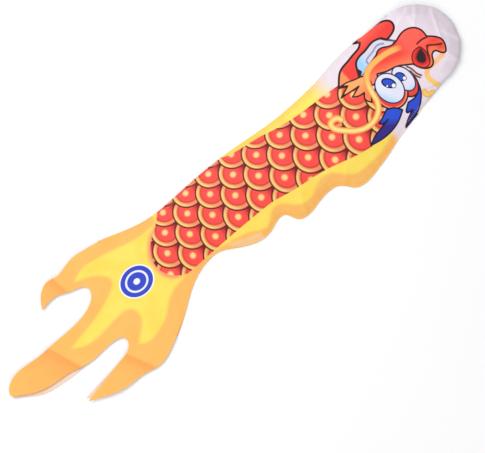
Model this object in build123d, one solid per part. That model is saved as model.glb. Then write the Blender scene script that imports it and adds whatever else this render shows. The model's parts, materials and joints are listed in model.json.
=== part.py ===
"""Carp streamer, 700 mm long, lying on its side on a flat surface.

Two mirrored cloth panels are sewn along the belly and along the wavy dorsal fin into a flat tube. A wire hoop in a hem
holds the mouth open, and the wind leaves between the two free layers of the three-pronged tail.

Frame: +X runs from the tail to the mouth, +Y towards the belly, +Z up from the surface the streamer lies on. The origin
is the bottom centre of the whole streamer. The hoop lies flat, so the mouth faces down and the near panel covers it.
Cloth bends anywhere, so the panels are cut into stiff sections with a clear gap at each bend line.
"""

from build123d import *
import os
from math import cos, radians, sin, sqrt

# Cloth, millimetres. The real polyester is about 0.12 thick; the solids are thicker so that they carry collision.
CLOTH = 1.0
LAYER_GAP = 0.15  # air between the two panels at the sewn edges
TAIL_GAP = 0.6  # air between the two free layers of the tail

# Mouth hoop and the hem that is folded round it.
MOUTH_CENTRE = (298.0, 8.0)
MOUTH_RADIUS = 52.0  # outside of the hem
WIRE_RADIUS = 1.2
SLEEVE_WALL = 0.55
SLEEVE_ANGLE = 20.0
WIRE_END_GAP = 1.5  # degrees between the two wire ends, inside the sleeve
HEM_WALL = 0.6
FIT_GAP = 0.05
HEM_MOUTH = 30.0  # half angle of the slot in the hem's section, which the stitching closes
HEM_BORE = WIRE_RADIUS + FIT_GAP + SLEEVE_WALL + FIT_GAP
HEM_RADIUS = HEM_BORE + HEM_WALL
THREAD_RADIUS = HEM_WALL / 2
HOOP_RADIUS = MOUTH_RADIUS - HEM_RADIUS
HOOP_HEIGHT = HEM_RADIUS

# Eyelets for a two-legged bridle, in the far panel just behind the hoop.
EYELET_BORE = 2.0
EYELET_BARREL = 2.5
EYELET_FLANGE = 4.0
EYELET_SHEET = 0.4
EYELET_REACH = 59.0  # from the hoop's centre
EYELET_ANGLES = (128.0, -128.0)

# Seams: a bead of overlocked thread just outside the two panel edges.
SEAM_CLEAR = 0.3
SEAM_WIDTH = 1.2
SEAM_BOTTOM = 0.4

# Bend lines across the streamer (x), with half of the clear gap at each.
MOUTH_BEND, BODY_BEND, TAIL_BEND = 236.0, 90.0, -62.0
BODY_GAP, ROOT_GAP, PRONG_GAP = 5.4, 3.4, 2.0
SEAM_ENDS = {"head": 262.0, "tail": -150.0}

# Creases of the three prongs: a point on the line, and the line's angle from +X.
CREASES = {"upper": (-219.0, 69.0, 97.0), "middle": (-271.0, -2.0, 110.4), "lower": (-203.0, -65.0, 115.3)}
PRONG_TIPS = {"upper": (-240.0, 68.0), "middle": (-310.0, 3.0), "lower": (-240.0, -65.0)}
FAR_TURNS = {"upper": 0.0, "middle": 3.0, "lower": -2.6}  # the far layer of a prong lies turned a little, degrees

# How high the near panel stands over the far one: at the mouth bend, over the hoop, and at the tail bend.
CROWN_BODY, CROWN_HOOP, CROWN_ROOT = 13.0, 7.0, 5.0
CROWN_FALL_START = 120.0

# The cut outline, as points that smooth curves pass through.
BELLY = [
    (-254, 59), (-247, 70), (-238, 78), (-228, 81.5), (-215, 79.5), (-200, 81.5), (-185, 84), (-170, 82.5),
    (-150, 78.5), (-130, 72), (-112, 66), (-95, 61.5), (-78, 59), (-50, 58.5), (-20, 59.5), (10, 59.5), (40, 58),
    (75, 54.5), (110, 51.5), (145, 51.5), (180, 54), (205, 58), (225, 60), (260, 60.5), (298, 60),
]
DORSAL = [
    (298, -44), (270, -49.5), (245, -54.5), (215, -60.5), (190, -68), (165, -74), (145, -76.5), (133, -73),
    (125, -64), (117, -57.5), (105, -55.5), (85, -58), (66, -61), (56, -58), (50.5, -49), (46, -42.5), (38, -41),
    (25, -45), (10, -48), (-10, -43), (-30, -32), (-45, -25), (-60, -24.5), (-80, -29), (-100, -38.5),
    (-120, -52), (-145, -67.5), (-168, -79), (-190, -84), (-205, -81), (-222, -79), (-240, -77.5), (-262, -70.5),
    (-283, -61),
]
LOWER_NOTCH = [
    (-283, -61), (-260, -57), (-240, -53), (-220, -49), (-206, -45), (-200, -39), (-198.5, -33.5), (-201, -29),
    (-207, -26.5), (-218, -25.5), (-235, -26.5), (-250, -26.5), (-263, -24), (-280, -20), (-305, -17),
    (-325, -11), (-341, -2), (-350, 5),
]
UPPER_NOTCH = [
    (-350, 5), (-345, 14), (-336, 19), (-300, 19.5), (-270, 19.5), (-235, 20), (-218, 22.5), (-205, 27.5),
    (-197, 34), (-193.5, 42), (-196.5, 47.5), (-203, 51), (-212, 54), (-220, 57.5), (-230, 61), (-240, 61.5),
    (-254, 59),
]

belly_line = Spline(*BELLY)
dorsal_line = Spline(*DORSAL)


def share_at(line, x):
    """How far along a line, from 0 to 1, it stands at x. The line's x only rises or only falls."""
    low, high = 0.0, 1.0
    rising = (line @ 1).X > (line @ 0).X
    for _ in range(40):
        middle = (low + high) / 2
        if ((line @ middle).X < x) == rising:
            low = middle
        else:
            high = middle
    return (low + high) / 2


def edge_at(line, x):
    """The line's y at x. Past the hoop's centre both edges follow the round mouth."""
    along = x - MOUTH_CENTRE[0]
    if along > 0:
        half = sqrt(max(0.0, MOUTH_RADIUS**2 - along**2))
        return MOUTH_CENTRE[1] + (half if line is belly_line else -half)
    return (line @ share_at(line, x)).Y


def eased(x, start, end):
    """0 at start, 1 at end, with no corner at either."""
    t = min(1.0, max(0.0, (x - start) / (end - start)))
    return t * t * (3 - 2 * t)


def seat(x):
    """Height of the near panel's underside at its edges: on the far panel, then up onto the hem."""
    on_panel, on_hem = CLOTH + LAYER_GAP, 2 * HEM_RADIUS + LAYER_GAP
    return on_panel + (on_hem - on_panel) * eased(x, 255.0, MOUTH_CENTRE[0])


def crown(x):
    """How far the near panel's middle stands above its edges."""
    along = x - MOUTH_CENTRE[0]
    if along > 0:
        return CROWN_HOOP * sqrt(max(0.0, 1 - (along / MOUTH_RADIUS) ** 2))
    if x > MOUTH_BEND:
        return CROWN_BODY + (CROWN_HOOP - CROWN_BODY) * eased(x, MOUTH_BEND, MOUTH_CENTRE[0])
    return CROWN_ROOT + (CROWN_BODY - CROWN_ROOT) * eased(x, TAIL_BEND, CROWN_FALL_START)


def arch(x):
    """The near panel's section at x: a thin crescent from the dorsal edge to the belly edge."""
    dorsal, belly, low = edge_at(dorsal_line, x), edge_at(belly_line, x), seat(x)
    middle, high = (dorsal + belly) / 2, seat(x) + crown(x)
    under = ThreePointArc((dorsal, low), (middle, high), (belly, low))
    over = ThreePointArc((dorsal, low + CLOTH), (middle, high + CLOTH), (belly, low + CLOTH))
    sides = [Line((y, low), (y, low + CLOTH)) for y in (dorsal, belly)]
    return Plane.YZ.offset(x) * make_face([under, over, *sides])


def near_section(start, end, step=4.0):
    """The near panel between two bend lines."""
    count = max(2, round((end - start) / step))
    return loft([arch(start + (end - start) * i / count) for i in range(count + 1)])


def near_head():
    """The near panel from the mouth bend over the hoop. Its sections crowd together where the round mouth closes."""
    start = MOUTH_BEND + BODY_GAP
    straight = [start + (MOUTH_CENTRE[0] - start) * i / 8 for i in range(9)]
    round_end = [MOUTH_CENTRE[0] + MOUTH_RADIUS * sin(radians(a)) for a in (12, 24, 36, 48, 59, 69, 76, 81)]
    return loft([arch(x) for x in straight + round_end])


def outline():
    """The flat cut of one whole panel, up to the hoop's centre line."""
    mouth = Line((BELLY[-1]), (DORSAL[0]))
    return make_face([belly_line, mouth, dorsal_line, Spline(*LOWER_NOTCH), Spline(*UPPER_NOTCH)])


def strip(start, end):
    """A wide rectangle between two x values, which cuts a section out of the outline."""
    return Pos((start + end) / 2, 0) * Rectangle(end - start, 400)


def crease_band(name):
    """The clear gap along one prong's crease."""
    x, y, angle = CREASES[name]
    return Pos(x, y) * Rot(0, 0, angle) * Rectangle(70, 2 * PRONG_GAP)


def layer(face, low, thickness=CLOTH):
    """A flat cloth layer with its underside at low."""
    return Pos(0, 0, low) * extrude(face, thickness)


def nearest(faces, place):
    """The one of several faces that lies nearest to a point."""
    return min(faces, key=lambda f: (f.center() - Vector(*place, 0)).length)


def seam(line, start, end, top):
    """A bead of thread beside one panel edge, between two x values."""
    away = 1 if line is belly_line else -1
    shares = sorted((share_at(line, start), share_at(line, end)))
    inner = Pos(0, away * SEAM_CLEAR) * line.trim(*shares)
    outer = Pos(0, away * SEAM_WIDTH) * inner
    ends = [Line(inner @ t, outer @ t) for t in (0, 1)]
    return layer(make_face([inner, outer, *ends]), SEAM_BOTTOM, top - SEAM_BOTTOM)


def hoop_ring(section, sweep=360.0, middle=180.0):
    """A section, drawn about the wire's centre, swept round the mouth and centred on one angle."""
    profile = Plane.XZ * Pos(HOOP_RADIUS, HOOP_HEIGHT) * section
    ring = revolve(profile, Axis.Z, sweep)
    return Pos(*MOUTH_CENTRE) * Rot(0, 0, middle - sweep / 2) * ring


def hem_section():
    """The hem round the wire, with a slot towards the middle of the mouth."""
    reach = 2 * HEM_RADIUS
    lip = reach * sin(radians(HEM_MOUTH)) / cos(radians(HEM_MOUTH))
    slot = make_face(Polyline((0, 0), (-reach, lip), (-reach, -lip), (0, 0)))
    return Circle(HEM_RADIUS) - Circle(HEM_BORE) - slot


def eyelet_places():
    return [
        (MOUTH_CENTRE[0] + EYELET_REACH * cos(radians(a)), MOUTH_CENTRE[1] + EYELET_REACH * sin(radians(a)))
        for a in EYELET_ANGLES
    ]


def eyelet(place):
    """A rolled eyelet: a flange under the cloth, a barrel through it and a flange on top."""
    under = Cylinder(EYELET_FLANGE, EYELET_SHEET, align=(Align.CENTER, Align.CENTER, Align.MIN))
    over = Pos(0, 0, CLOTH) * under
    barrel = Cylinder(EYELET_BARREL, CLOTH + EYELET_SHEET, align=(Align.CENTER, Align.CENTER, Align.MIN))
    bore = Cylinder(EYELET_BORE, 4 * CLOTH)
    return Pos(*place) * (under + over + barrel - bore)


def far_head(whole):
    """The far panel behind the hoop, cut round the mouth, with the two eyelet holes."""
    face = whole & strip(MOUTH_BEND + BODY_GAP, MOUTH_CENTRE[0] - 8.0)
    face -= Pos(*MOUTH_CENTRE) * Circle(MOUTH_RADIUS + SEAM_CLEAR)
    panel = layer(face, 0)
    for place in eyelet_places():
        panel -= Pos(*place) * Cylinder(EYELET_BARREL, 4 * CLOTH)
        panel -= Pos(*place) * Cylinder(EYELET_FLANGE, EYELET_SHEET, align=(Align.CENTER, Align.CENTER, Align.MIN))
    return panel


def build():
    """Every sub-part, by its name."""
    whole = outline()
    parts = {
        "mouth_hoop": hoop_ring(Circle(WIRE_RADIUS), 360.0 - WIRE_END_GAP, 0.0),
        "hoop_sleeve": hoop_ring(
            Circle(WIRE_RADIUS + FIT_GAP + SLEEVE_WALL) - Circle(WIRE_RADIUS + FIT_GAP), SLEEVE_ANGLE, 180.0
        ),
        "mouth_hem": hoop_ring(hem_section()),
        "hem_stitching": hoop_ring(Pos(-(HEM_BORE + HEM_RADIUS) / 2, 0) * Circle(THREAD_RADIUS)),
        "bridle_eyelets": Compound(children=[eyelet(place) for place in eyelet_places()]),
        "near_panel_head": near_head(),
        "far_panel_head": far_head(whole),
    }

    sections = {
        "fore": (BODY_BEND + BODY_GAP, MOUTH_BEND - BODY_GAP),
        "rear": (TAIL_BEND + ROOT_GAP, BODY_BEND - BODY_GAP),
    }
    for name, (start, end) in sections.items():
        parts[f"near_panel_{name}"] = near_section(start, end)
        parts[f"far_panel_{name}"] = layer(whole & strip(start, end), 0)

    seam_spans = {
        "head": (MOUTH_BEND + BODY_GAP, SEAM_ENDS["head"]),
        **sections,
        "tail": (SEAM_ENDS["tail"], TAIL_BEND - ROOT_GAP),
    }
    seam_top = 2 * CLOTH + LAYER_GAP - SEAM_BOTTOM
    for name, (start, end) in seam_spans.items():
        parts[f"belly_seam_{name}"] = seam(belly_line, start, end, seam_top)
        parts[f"dorsal_seam_{name}"] = seam(dorsal_line, start, end, seam_top)

    tail = whole & strip(-400.0, TAIL_BEND - ROOT_GAP)
    for name in CREASES:
        tail -= crease_band(name)
    tail_faces = tail.faces()
    near_low = CLOTH + TAIL_GAP
    root = nearest(tail_faces, (-140, 0))
    parts["near_tail_fin"] = layer(root, near_low)
    parts["far_tail_fin"] = layer(root, 0)
    for name, place in PRONG_TIPS.items():
        prong = nearest(tail_faces, place)
        x, y, _ = CREASES[name]
        turned = Pos(x, y) * Rot(0, 0, FAR_TURNS[name]) * Pos(-x, -y) * prong
        clear = turned - Pos(0, 0) * crease_band(name)
        parts[f"near_{name}_prong"] = layer(prong, near_low)
        parts[f"far_{name}_prong"] = layer(nearest(clear.faces(), place), 0)
    return parts


os.makedirs("parts", exist_ok=True)
made = build()
for node, shape in made.items():
    export_step(shape, f"parts/{node}.step")
box = Compound(children=[shape for shape in made.values()]).bounding_box()
print("nodes", len(made))
print("overall", box.size, "centre", box.center())
print("eyelets", eyelet_places())
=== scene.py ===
# %% [markdown]
# # A small carp streamer
# A carp streamer is a fish-shaped wind tube. Two printed panels of thin polyester are sewn together along
# the belly and along the wavy back fin. A wire hoop in a hem holds the mouth open, and the wind leaves
# between the two free layers of a three-pronged tail. Here it lies on its side. The stiff CAD sections say
# where everything is and how it bends, and this script lays real cloth over them.

# %% Load the frame
import bpy
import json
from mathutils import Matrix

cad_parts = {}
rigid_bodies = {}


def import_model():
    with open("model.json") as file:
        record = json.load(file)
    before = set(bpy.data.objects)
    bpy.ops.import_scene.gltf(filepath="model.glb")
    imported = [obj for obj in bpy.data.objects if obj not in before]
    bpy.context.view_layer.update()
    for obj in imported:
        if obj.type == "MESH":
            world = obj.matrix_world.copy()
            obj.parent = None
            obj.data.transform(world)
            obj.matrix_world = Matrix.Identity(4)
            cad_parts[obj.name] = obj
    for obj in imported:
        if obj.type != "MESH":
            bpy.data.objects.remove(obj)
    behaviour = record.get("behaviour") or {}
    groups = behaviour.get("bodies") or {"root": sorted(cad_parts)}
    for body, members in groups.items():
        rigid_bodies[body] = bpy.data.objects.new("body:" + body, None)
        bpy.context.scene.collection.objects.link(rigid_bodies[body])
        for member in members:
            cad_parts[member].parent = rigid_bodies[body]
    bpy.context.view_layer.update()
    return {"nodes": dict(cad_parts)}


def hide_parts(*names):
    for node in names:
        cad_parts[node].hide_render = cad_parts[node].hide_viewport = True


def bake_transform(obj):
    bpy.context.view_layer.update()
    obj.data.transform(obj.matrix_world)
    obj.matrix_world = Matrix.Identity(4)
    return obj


for left_over in list(bpy.data.objects):  # the cube, lamp and camera of a new file
    bpy.data.objects.remove(left_over)
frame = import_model()

import json
from math import cos, pi, radians, sin

import numpy as np
from mathutils import Vector

MM = 0.001  # the cloth is drawn in millimetres, and Blender works in metres

# %% [markdown]
# ## The cut pattern
# A sewer starts from a paper pattern, so we do too. The two long edges and the two notches between the
# prongs are each a smooth curve through a few points. A natural cubic spline through them gives the flowing
# edge that a knife cuts. We could draw Bezier curves instead, but plain arrays of points are easier to
# measure and to cut up.

# %% Smooth curves through a few points
def smooth_line(points, spacing=1.0):
    """Evenly spaced points on a smooth curve through the given ones."""
    p = np.asarray(points, float)
    run = np.concatenate([[0], np.cumsum(np.linalg.norm(np.diff(p, axis=0), axis=1))])
    step = np.diff(run)
    count = len(p)
    bend, pull = np.eye(count), np.zeros((count, 2))
    for i in range(1, count - 1):
        bend[i, i - 1 : i + 2] = step[i - 1], 2 * (step[i - 1] + step[i]), step[i]
        pull[i] = 6 * ((p[i + 1] - p[i]) / step[i] - (p[i] - p[i - 1]) / step[i - 1])
    m = np.linalg.solve(bend, pull)
    at = np.linspace(0, run[-1], max(2, int(np.ceil(run[-1] / spacing)) + 1))
    i = np.clip(np.searchsorted(run, at, side="right") - 1, 0, count - 2)
    a, b = (run[i + 1] - at)[:, None], (at - run[i])[:, None]
    h = step[i][:, None]
    return (
        (m[i] * a**3 + m[i + 1] * b**3) / (6 * h)
        + (p[i] / h - m[i] * h / 6) * a
        + (p[i + 1] / h - m[i + 1] * h / 6) * b
    )


def spread(line, count):
    """count + 1 points, evenly spaced along a line of points."""
    line = np.asarray(line, float)
    run = np.concatenate([[0], np.cumsum(np.linalg.norm(np.diff(line, axis=0), axis=1))])
    at = np.linspace(0, run[-1], count + 1)
    return np.stack([np.interp(at, run, line[:, k]) for k in (0, 1)], axis=1)


# %% The edges of a panel
MOUTH_CENTRE = np.array([298.0, 8.0])
MOUTH_RADIUS = 52.0

BELLY = smooth_line([
    (298, 60), (260, 60.5), (225, 60), (205, 58), (180, 54), (145, 51.5), (110, 51.5), (75, 54.5), (40, 58),
    (10, 59.5), (-20, 59.5), (-50, 58.5), (-78, 59), (-95, 61.5), (-112, 66), (-130, 72), (-150, 78.5),
    (-170, 82.5), (-185, 84), (-200, 81.5), (-215, 79.5), (-228, 81.5), (-238, 78), (-247, 70), (-253.5, 60),
])
BACK = smooth_line([
    (298, -44), (270, -49.5), (245, -54.5), (215, -60.5), (190, -68), (165, -74), (145, -76.5), (133, -73),
    (125, -64), (117, -57.5), (105, -55.5), (85, -58), (66, -61), (56, -58), (50.5, -49), (46, -42.5),
    (38, -41),
    (25, -45), (10, -48), (-10, -43), (-30, -32), (-45, -25), (-60, -24.5), (-80, -29), (-100, -38.5),
    (-120, -52), (-145, -67.5), (-168, -79), (-190, -84), (-205, -81), (-222, -79), (-240, -77.5),
    (-262, -70.5),
    (-282, -61.5),
])
LOWER_NOTCH_OUT = smooth_line([(-198.5, -33.5), (-200, -39), (-206, -45), (-220, -49), (-240, -53),
                               (-260, -57),
                               (-282, -60.8)])
LOWER_NOTCH_IN = smooth_line([(-198.5, -33.5), (-201, -29), (-207, -26.5), (-218, -25.5), (-235, -26.5),
                              (-250, -26.5), (-263, -24), (-280, -20), (-305, -17), (-325, -11), (-341, -2)])
UPPER_NOTCH_IN = smooth_line([(-193.5, 42), (-197, 34), (-205, 27.5), (-218, 22.5), (-235, 20), (-270, 19.5),
                              (-300, 19.5), (-336, 19), (-345, 14)])
UPPER_NOTCH_OUT = smooth_line([(-193.5, 42), (-196.5, 47.5), (-203, 51), (-212, 54), (-220, 57.5), (-230, 61),
                               (-240, 61.5), (-253, 59.3)])
MIDDLE_TIP = smooth_line([(-341, -2), (-350, 5), (-345, 14)])


def edge_y(line, x):
    """The y of a long edge at x."""
    order = np.argsort(line[:, 0])
    return np.interp(x, line[order, 0], line[order, 1])


def round_mouth(x, y):
    """A place as its reach from the mouth's centre and how far round the rim it is, both in millimetres."""
    dx, dy = x - MOUTH_CENTRE[0], y - MOUTH_CENTRE[1]
    return np.hypot(dx, dy), np.arctan2(dy, dx) * MOUTH_RADIUS


def at_angle(reach, angle):
    """The x and y of a place at a reach and an angle from the mouth's centre."""
    return MOUTH_CENTRE[0] + reach * np.cos(angle), MOUTH_CENTRE[1] + reach * np.sin(angle)


print("pattern length", round(float(BELLY[:, 0].max() - MIDDLE_TIP[:, 0].min() + MOUTH_RADIUS)), "mm")

# %% [markdown]
# ## From pattern to mesh
# Cloth wants a regular grid of four-sided faces, because it bends along rows and columns as woven thread
# does. A Coons patch makes such a grid between any four edges: it adds the two blends between facing edges
# and takes away the blend of the corners. Each grid crosses one bend line only, because a piece of cloth
# can follow two bodies but not three. Neighbouring grids share the points of the cut between them, so no
# gap opens there.

# %% A grid between four edges
def patch(first, last, low, high):
    """A Coons patch. first and last run from low to high. low and high run from first to last."""
    s = np.linspace(0, 1, len(low))[:, None, None]
    t = np.linspace(0, 1, len(first))[None, :, None]
    across = (1 - s) * first[None] + s * last[None]
    along = (1 - t) * low[:, None] + t * high[:, None]
    corners = (1 - s) * ((1 - t) * first[0] + t * first[-1]) + s * ((1 - t) * last[0] + t * last[-1])
    return across + along - corners


def between(line, x_from, x_to, count):
    """A stretch of a long edge between two x values, as count + 1 points."""
    x = line[:, 0]
    keep = (x < max(x_from, x_to)) & (x > min(x_from, x_to))
    ends = [(v, edge_y(line, v)) for v in (x_from, x_to)]
    return spread(np.vstack([ends[0], line[keep], ends[1]]), count)


def ring_arc(radius, start, end, count):
    """Points on a circle round the mouth's centre, from one angle to another."""
    angles = np.radians(np.linspace(start, end, count + 1))
    return MOUTH_CENTRE + radius * np.stack([np.cos(angles), np.sin(angles)], axis=1)


# %% Where the panels are cut into pieces
COLUMNS = {"lower": 24, "middle": 34, "upper": 20}  # faces across each prong, and so across the body too
ACROSS = sum(COLUMNS.values())
CUTS = {"fore": 163.0, "rear": 14.0}
BASES = {"lower": ((-188, -84), (-198.5, -33.5)), "middle": ((-198.5, -33.5), (-193.5, 42)),
         "upper": ((-193.5, 42), (-188, 83.7))}


def straight(a, b, count):
    return spread([a, b], count)


def cut_line(x):
    return straight((x, edge_y(BACK, x)), (x, edge_y(BELLY, x)), ACROSS)


tail_base = np.vstack([straight(*BASES[name], COLUMNS[name])[i > 0 :] for i, name in enumerate(COLUMNS)])
tail_base[0, 1] = edge_y(BACK, tail_base[0, 0])
tail_base[-1, 1] = edge_y(BELLY, tail_base[-1, 0])


def body_grids(mouth_end, mouth_sides, rows):
    """The three grids from the mouth to the prongs. The near and far panels differ only at the mouth."""
    fore, rear = CUTS["fore"], CUTS["rear"]
    back_side, belly_side = mouth_sides
    return {
        "mouth": patch(mouth_end, cut_line(fore), back_side, belly_side),
        "body": patch(cut_line(fore), cut_line(rear), between(BACK, fore, rear, rows[1]),
                      between(BELLY, fore, rear, rows[1])),
        "root": patch(cut_line(rear), tail_base, between(BACK, rear, tail_base[0, 0], rows[2]),
                      between(BELLY, rear, tail_base[-1, 0], rows[2])),
    }


def prong_grids():
    """One grid for each prong, from its base to its tip."""
    sides = {
        "lower": (between(BACK, tail_base[0, 0], -282, 44), spread(LOWER_NOTCH_OUT, 44)),
        "middle": (spread(LOWER_NOTCH_IN, 66), spread(UPPER_NOTCH_IN, 66)),
        "upper": (spread(UPPER_NOTCH_OUT, 34), between(BELLY, tail_base[-1, 0], -253.5, 34)),
    }
    made, first = {}, 0
    for name, columns in COLUMNS.items():
        low, high = sides[name]
        tip = spread(MIDDLE_TIP, columns) if name == "middle" else straight(low[-1], high[-1], columns)
        made[name] = patch(tail_base[first : first + columns + 1], tip, low, high)
        first += columns
    return made


# %% The grids of the two panels
CORNER = 50.0  # where the near panel's side ends on the round mouth, degrees from the tip
HORN = 106.0  # where the far panel's side ends on the mouth
MOUTH_ROWS = 150


def near_side(line, way):
    """A long edge from the round mouth to the first cut."""
    arc = ring_arc(MOUTH_RADIUS, way * CORNER, way * 90, 40)
    edge = between(line, MOUTH_CENTRE[0], CUTS["fore"], 120)
    return spread(np.vstack([arc, edge[1:]]), MOUTH_ROWS)


def far_side(line, way):
    start = ring_arc(MOUTH_RADIUS, way * HORN, way * HORN, 0)
    edge = between(line, start[0, 0], CUTS["fore"], 120)
    return spread(np.vstack([start, edge[1:]]), MOUTH_ROWS)


near_grids = body_grids(ring_arc(MOUTH_RADIUS, -CORNER, CORNER, ACROSS),
                        (near_side(BACK, -1), near_side(BELLY, 1)), (MOUTH_ROWS, 60, 84))
far_grids = body_grids(ring_arc(MOUTH_RADIUS, 360 - HORN, HORN, ACROSS),
                       (far_side(BACK, -1), far_side(BELLY, 1)), (MOUTH_ROWS, 60, 84))
near_grids.update(prong_grids())
far_grids.update(prong_grids())
print("faces in the near panel:", sum((len(g) - 1) * (g.shape[1] - 1) for g in near_grids.values()))

# %% [markdown]
# ## How the cloth lies
# The far panel lies flat on the table. The near panel is sewn to it along both edges and has a little
# slack, so it stands up between them like a thin pillow, and it climbs over the hoop's hem at the mouth.
# Small waves, puckers along the seams and sharp folds where the prongs were packed make it read as cloth.
# All of it is one height function of the place on the pattern, so pieces that meet always agree, and we can
# ask it for exact normals.

# %% Soft waves from seeded random numbers
def waves(x, y, size, seed):
    """Smooth random hills, from about -1 to 1, that are size millimetres across."""
    table = np.random.default_rng(seed).uniform(-1, 1, (256, 256))
    u, v = x / size + 101.3, y / size + 57.9
    i, j = np.floor(u).astype(int), np.floor(v).astype(int)
    fu, fv = u - i, v - j
    fu, fv = fu * fu * (3 - 2 * fu), fv * fv * (3 - 2 * fv)
    a, b = table[i % 256, j % 256], table[(i + 1) % 256, j % 256]
    c, d = table[i % 256, (j + 1) % 256], table[(i + 1) % 256, (j + 1) % 256]
    return (a * (1 - fu) + b * fu) * (1 - fv) + (c * (1 - fu) + d * fu) * fv


def eased(value, start, end):
    """0 at start, 1 at end, with no corner at either."""
    t = np.clip((value - start) / (end - start), 0, 1)
    return t * t * (3 - 2 * t)


# %% Folds
# a point on each fold, its angle from +X, its height, its width and how far it runs each way
PRONG_FOLDS = {"upper": (-219.0, 69.0, 97.0), "middle": (-271.0, -2.0, 110.4),
               "lower": (-203.0, -65.0, 115.3)}
HEAD_CREASES = [
    (333, 12, 68, 2.6, 1.7, 24), (320, -14, 104, 2.0, 1.7, 22), (322, 40, 48, 1.9, 1.8, 15),
    (339, -8, 112, 1.6, 1.8, 16), (304, 46, 18, 1.2, 2.4, 22), (322, -32, 142, 1.6, 2.2, 18),
    (312, 30, 80, 1.0, 2.4, 14),
]
SOFT_FOLDS = HEAD_CREASES + [
    (-125, -40, 62, 1.0, 3.5, 26), (-92, 10, 84, 0.5, 5.0, 40), (60, 0, 96, 0.5, 6.0, 50),
    (-310, 4, 160, 0.6, 4.0, 26), (-180, 66, 150, 0.8, 4.0, 24), (205, -52, 20, 0.8, 3.5, 22),
    (-20, 40, 170, 0.4, 6.0, 40), (132, -56, 48, 1.5, 3.2, 18), (10, -36, 130, 1.2, 3.2, 12),
    (72, -46, 70, 1.4, 3.2, 15), (47, -36, 108, 1.3, 2.6, 12), (100, -46, 10, 0.9, 3.0, 16),
    (-20, -34, 20, 0.9, 3.0, 16), (-150, -62, 70, 0.8, 3.2, 16), (262, 30, 160, 0.7, 4.0, 20),
]


def past(fold, x, y):
    """How far a point is past a fold line, towards the tail, and how far it is along it."""
    px, py, angle = fold[:3]
    c, s = cos(radians(angle)), sin(radians(angle))
    return -(x - px) * s + (y - py) * c, (x - px) * c + (y - py) * s


def on_prong(name, x, y):
    """Where a fold belongs to its prong and not to the one beside it."""
    return (x < -188) & {"upper": y > 45, "middle": np.abs(y - 2) < 34, "lower": y < -40}[name]


def ridge(x, y, px, py, angle, height, width, reach):
    """A low ridge along a line, that dies away to both sides and at its ends."""
    off, along = past((px, py, angle), x, y)
    return height * np.exp(-np.sqrt(off**2 + 0.6) / width) * np.exp(-((along / reach) ** 4))


# %% The two height functions
THICK = 0.2  # a little over the real 0.12, so that the two faces never touch
EDGE_LIFT = 0.8  # outer face of the near cloth at the seams
ROLL_RADIUS = 2.5
WIRE_HEIGHT = 2.45
WIRE_REACH = 49.55
CROWN = {"root": 5.0, "body": 12.6, "hoop": 6.6}


def across(x, y):
    """-1 at the back edge of a panel, 1 at the belly edge."""
    low, high = edge_y(BACK, x), edge_y(BELLY, x)
    inside = np.clip((2 * y - low - high) / (high - low), -1, 1)
    mouth = np.clip(round_mouth(x, y)[0] / MOUTH_RADIUS, 0, 1)
    return np.where(x > MOUTH_CENTRE[0], mouth, inside)


def over_hem(x, y):
    """Height of the cloth that lies over the rolled hem."""
    out = round_mouth(x, y)[0] - WIRE_REACH
    return WIRE_HEIGHT + np.sqrt(np.clip(ROLL_RADIUS**2 - np.clip(out, 0, None) ** 2, 0.05, None))


def near_height(x, y):
    """Outer face of the near panel, in millimetres above the table."""
    v = across(x, y)
    half = (edge_y(BELLY, x) - edge_y(BACK, x)) / 2
    rise = CROWN["root"] * eased(x, -165, -62) + (CROWN["body"] - CROWN["root"]) * eased(x, -62, 130)
    rise -= (CROWN["body"] - CROWN["hoop"]) * eased(x, 236, 300)
    full = 1 - 0.45 * eased(x, 225, 290)
    to_hem, tail = eased(x, 250, 298), eased(-x, 120, 175)
    lift = EDGE_LIFT + (over_hem(x, y) - EDGE_LIFT) * to_hem + 0.75 * tail
    from_edge = (1 - np.abs(v)) * half
    body = rise * np.clip(1 - v**2, 0, 1) ** full
    slack = (1 - np.exp(-from_edge / 9)) * (1 - tail)
    body += slack * (0.7 * waves(x, y * 0.7, 46, 1) + 0.35 * waves(x + y, y, 21, 2))
    body += (0.3 + 0.7 * slack) * (0.16 * waves(x + 0.4 * y, y, 10, 9) + 0.07 * waves(x, y - 0.3 * x, 5, 10))
    along = x + 9 * waves(x, y * 0, 60, 3)
    pucker = (0.42 * np.exp(-from_edge / 8) * (1 - np.exp(-from_edge / 1.5))
              * (1 + np.sin(2 * pi * along / 12.5)))
    body += pucker * (1 - to_hem) * (1 - tail)
    reach, round_rim = round_mouth(x, y)
    body += 0.35 * (1 + waves(round_rim, reach * 0.25, 6, 11)) * eased(reach, 32, 44) * eased(x, 290, 304)
    body += tail * (0.75 + 0.5 * waves(x, y, 38, 4) + 0.25 * waves(x, y, 17, 5))
    for name, fold in PRONG_FOLDS.items():
        off = past(fold, x, y)[0]
        crease = 1.3 * np.exp(-np.sqrt(off**2 + 0.4) / 5) + 2.2 * eased(off, 4, 70)
        body += np.where(on_prong(name, x, y), crease, 0) * eased(-x, 190, 215)
    for fold in SOFT_FOLDS:
        body += ridge(x, y, *fold)
    return lift + body


def far_height(x, y):
    """Lower, printed face of the far panel."""
    v = across(x, y)
    inside = np.where(x > -150, 1 - v**2, 1)
    return (0.1 + 0.32 * inside * (1 + waves(x, y, 40, 6)) * 0.5
            + 0.15 * inside * (1 + waves(x, y, 15, 7)) * 0.5)


def facing(height, x, y, step=0.7):
    """Unit normals of a height function."""
    dx = (height(x + step, y) - height(x - step, y)) / (2 * step)
    dy = (height(x, y + step) - height(x, y - step)) / (2 * step)
    n = np.stack([-dx, -dy, np.ones_like(dx)], axis=-1)
    return n / np.linalg.norm(n, axis=-1, keepdims=True)


peak = max(float(near_height(g[..., 0], g[..., 1]).max()) for g in near_grids.values())
print("the near panel stands", round(peak, 1), "mm high")

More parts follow.
